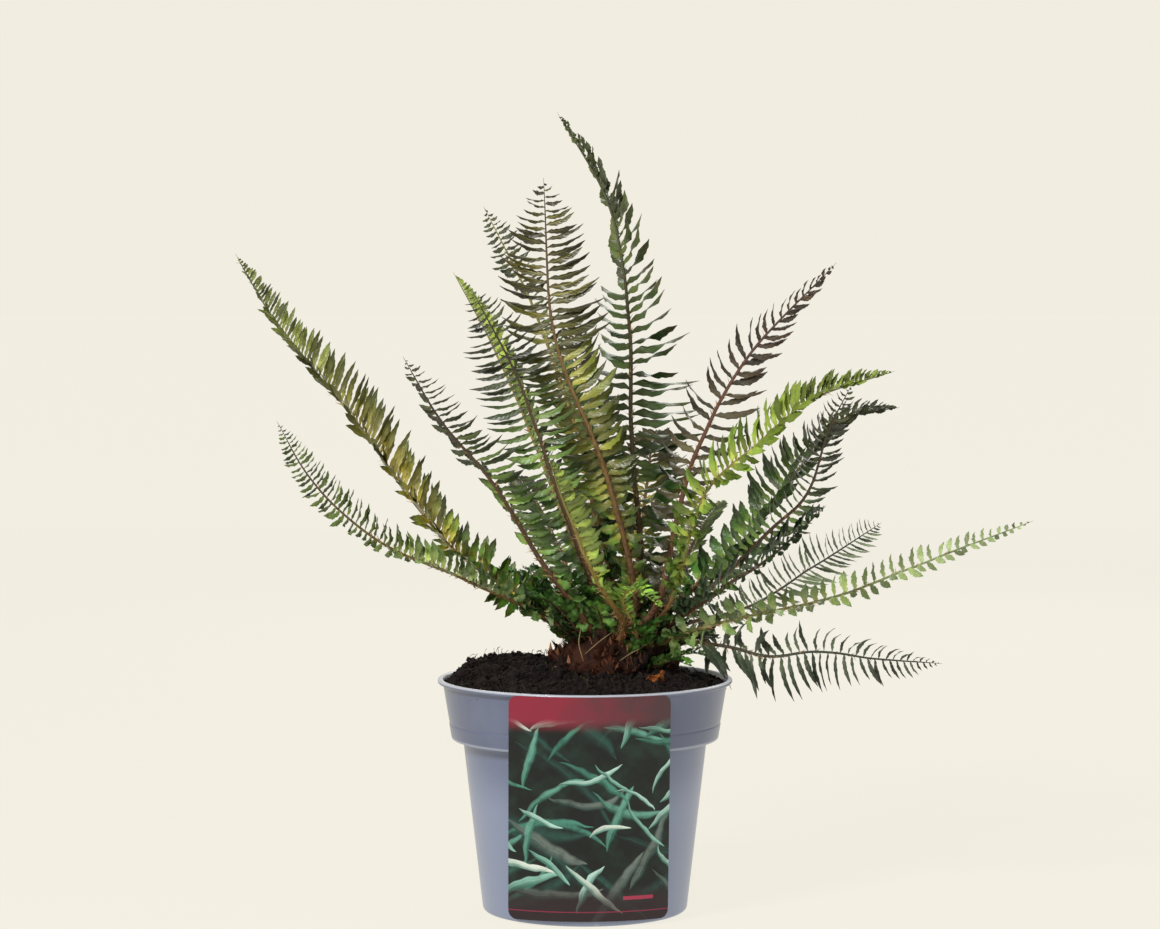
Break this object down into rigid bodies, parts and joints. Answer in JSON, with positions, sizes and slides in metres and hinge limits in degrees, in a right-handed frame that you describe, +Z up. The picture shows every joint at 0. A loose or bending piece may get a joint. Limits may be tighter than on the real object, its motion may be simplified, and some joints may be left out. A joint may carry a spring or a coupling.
{
  "type": "potted sword fern",
  "caption": "Evergreen sword fern with arching feather fronds on a scaly crown, in a soil-filled stepped plastic nursery pot with a bent care card leaning on its rim.",
  "frame": {"origin": "centre of the flat underside of the pot", "axes": "+Z up; -Y towards the front, where the care card is; +X to the right as seen from the front"},
  "size_m": [0.507, 0.3646, 0.515],
  "materials": {
    "pot_plastic": "semi-gloss moulded polypropylene, slate grey with a blue cast",
    "card_print": "printed plastic sheet, dark green leaf pattern under a crimson band",
    "compost": "moist dark peat compost, rough and crumbly",
    "rhizome": "dry brown scaly rhizome",
    "leaf_olive": "leathery leaf, olive green, satin",
    "leaf_bright": "leathery leaf, yellow green, satin",
    "leaf_deep": "leathery leaf, deep green, satin",
    "leaf_dusky": "leathery leaf, dull brown green, satin",
    "leaf_grey": "leathery leaf, grey green, satin"
  },
  "bodies": {
    "root": {"pot": "pot_plastic", "care_card": "card_print", "soil": "compost", "crown": "rhizome", "frond_left_high": "leaf_olive", "frond_left_low": "leaf_olive", "frond_left_mid": "leaf_deep", "frond_slim_light": "leaf_bright", "frond_mid_comb": "leaf_deep", "frond_centre_left": "leaf_bright", "frond_centre": "leaf_olive", "frond_tall": "leaf_deep", "frond_right_brown": "leaf_dusky", "frond_right_light": "leaf_bright", "frond_right_dark": "leaf_deep", "frond_right_inner": "leaf_deep", "frond_right_low": "leaf_deep", "frond_right_pale": "leaf_grey", "frond_right_long": "leaf_bright", "frond_right_droop": "leaf_grey", "frond_front_light": "leaf_bright", "frond_front_young": "leaf_bright", "frond_back_left": "leaf_deep", "frond_back_high": "leaf_olive", "frond_back_mid": "leaf_olive", "frond_back_right": "leaf_deep"}
  },
  "joints": []
}
